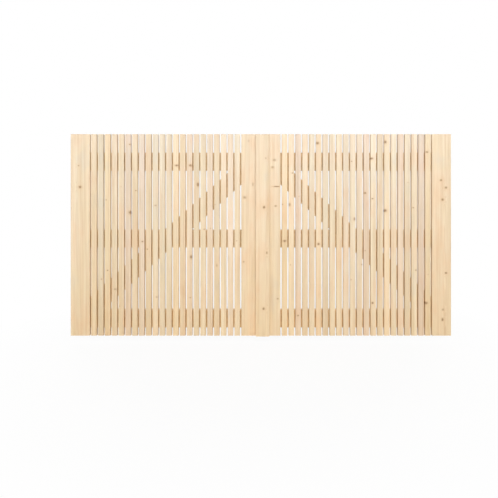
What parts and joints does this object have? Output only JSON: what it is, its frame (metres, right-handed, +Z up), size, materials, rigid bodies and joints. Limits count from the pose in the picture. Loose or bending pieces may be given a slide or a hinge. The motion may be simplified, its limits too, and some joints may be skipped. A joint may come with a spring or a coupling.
{
  "type": "double-leaf wooden gate",
  "caption": "Double-leaf timber driveway gate: upright slats and wide stiles on ledger rails with diagonal braces, a cover strip over the meeting edges, strap hinges on pintle plates.",
  "frame": {"origin": "middle of the flat fixing face of the lower left pintle plate", "axes": "+X along the gate from its left fixing face to its right one, +Y from the slatted front to the back, +Z up"},
  "size_m": [3.422, 0.1563, 1.8],
  "materials": {
    "planed_spruce": "planed, untreated",
    "galvanised_steel": "galvanised"
  },
  "bodies": {
    "fixings": {"left_lower_pintle": "galvanised_steel", "left_upper_pintle": "galvanised_steel", "right_lower_pintle": "galvanised_steel", "right_upper_pintle": "galvanised_steel"},
    "left_leaf": {"left_outer_stile": "planed_spruce", "left_inner_stile": "planed_spruce", "left_bottom_rail": "planed_spruce", "left_middle_rail": "planed_spruce", "left_top_rail": "planed_spruce", "left_lower_brace": "planed_spruce", "left_upper_brace": "planed_spruce", "left_slats_01_02": "planed_spruce", "left_slats_03_04": "planed_spruce", "left_slats_05_06": "planed_spruce", "left_slats_07_08": "planed_spruce", "left_slats_09_10": "planed_spruce", "left_slats_11_12": "planed_spruce", "left_slats_13_14": "planed_spruce", "left_slats_15_16": "planed_spruce", "left_slats_17_18": "planed_spruce", "left_slats_19_20": "planed_spruce", "left_slats_21_22": "planed_spruce", "left_lower_strap": "galvanised_steel", "left_upper_strap": "galvanised_steel"},
    "right_leaf": {"right_outer_stile": "planed_spruce", "right_inner_stile": "planed_spruce", "right_bottom_rail": "planed_spruce", "right_middle_rail": "planed_spruce", "right_top_rail": "planed_spruce", "right_lower_brace": "planed_spruce", "right_upper_brace": "planed_spruce", "right_slats_01_02": "planed_spruce", "right_slats_03_04": "planed_spruce", "right_slats_05_06": "planed_spruce", "right_slats_07_08": "planed_spruce", "right_slats_09_10": "planed_spruce", "right_slats_11_12": "planed_spruce", "right_slats_13_14": "planed_spruce", "right_slats_15_16": "planed_spruce", "right_slats_17_18": "planed_spruce", "right_slats_19_20": "planed_spruce", "right_slats_21_22": "planed_spruce", "right_lower_strap": "galvanised_steel", "right_upper_strap": "galvanised_steel", "cover_strip": "planed_spruce"}
  },
  "joints": [
    {"name": "left_leaf_swing", "type": "hinge", "parent": "fixings", "child": "left_leaf", "pos_m": [0.026, -0.016, 0], "axis": [0, 0, 1], "range_deg": [0, 100]},
    {"name": "right_leaf_swing", "type": "hinge", "parent": "fixings", "child": "right_leaf", "pos_m": [3.396, -0.016, 0], "axis": [0, 0, -1], "range_deg": [0, 93]}
  ],
  "couplings": [
    {"joint": "right_leaf_swing", "follows": "left_leaf_swing", "ratio": 0.93}
  ]
}
